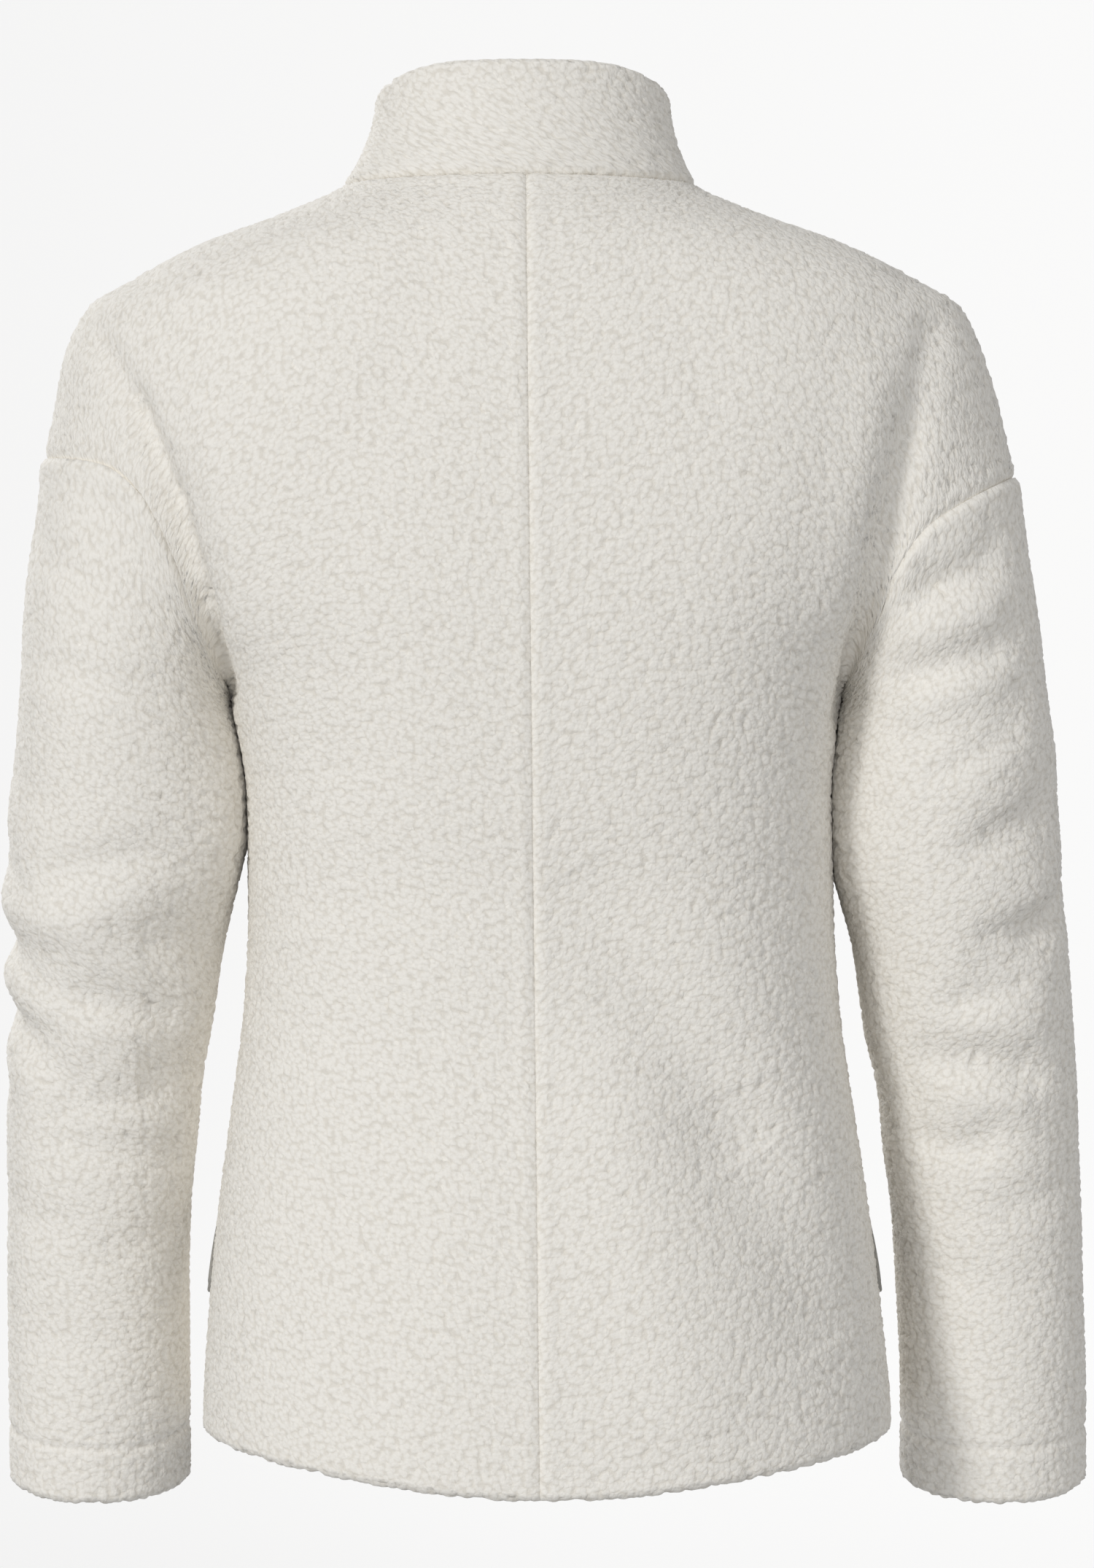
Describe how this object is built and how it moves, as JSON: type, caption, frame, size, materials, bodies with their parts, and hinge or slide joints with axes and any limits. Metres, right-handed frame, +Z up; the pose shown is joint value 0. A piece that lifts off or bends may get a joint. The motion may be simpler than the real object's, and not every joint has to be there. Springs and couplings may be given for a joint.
{
  "type": "fleece jacket",
  "caption": "Worn-form fleece jacket with stand collar, dropped sleeves, centre-back seam and full-length front zip.",
  "frame": {"origin": "middle of the neck opening, at the height where the shoulder seams meet the collar, where the wearer's neck and shoulders hold the jacket", "axes": "+Z up along the body, -Y towards the front of the jacket, +X towards the wearer's left sleeve"},
  "size_m": [0.5348, 0.2506, 0.7034],
  "materials": {
    "fleece": "curly short-pile fleece, matt",
    "zip_tape": "woven zip tape, matt",
    "zip_metal": "satin",
    "pocket_trim": "woven trim, matt"
  },
  "bodies": {
    "jacket": {"back_left": "fleece", "back_right": "fleece", "front_left": "fleece", "front_right": "fleece", "sleeve_left": "fleece", "sleeve_right": "fleece", "collar": "fleece", "zip_left": "zip_tape", "zip_right": "zip_tape", "zip_slider": "zip_metal", "pocket_trim_left": "pocket_trim", "pocket_trim_right": "pocket_trim"},
    "pull_tab": {"pull_tab": "zip_metal"}
  },
  "joints": [
    {"name": "pull_tab_hinge", "type": "hinge", "parent": "jacket", "child": "pull_tab", "pos_m": [0.00378, -0.07184, 0.01638], "axis": [-0.9999, 0.0012, 0.0107], "range_deg": [0, 150]}
  ]
}
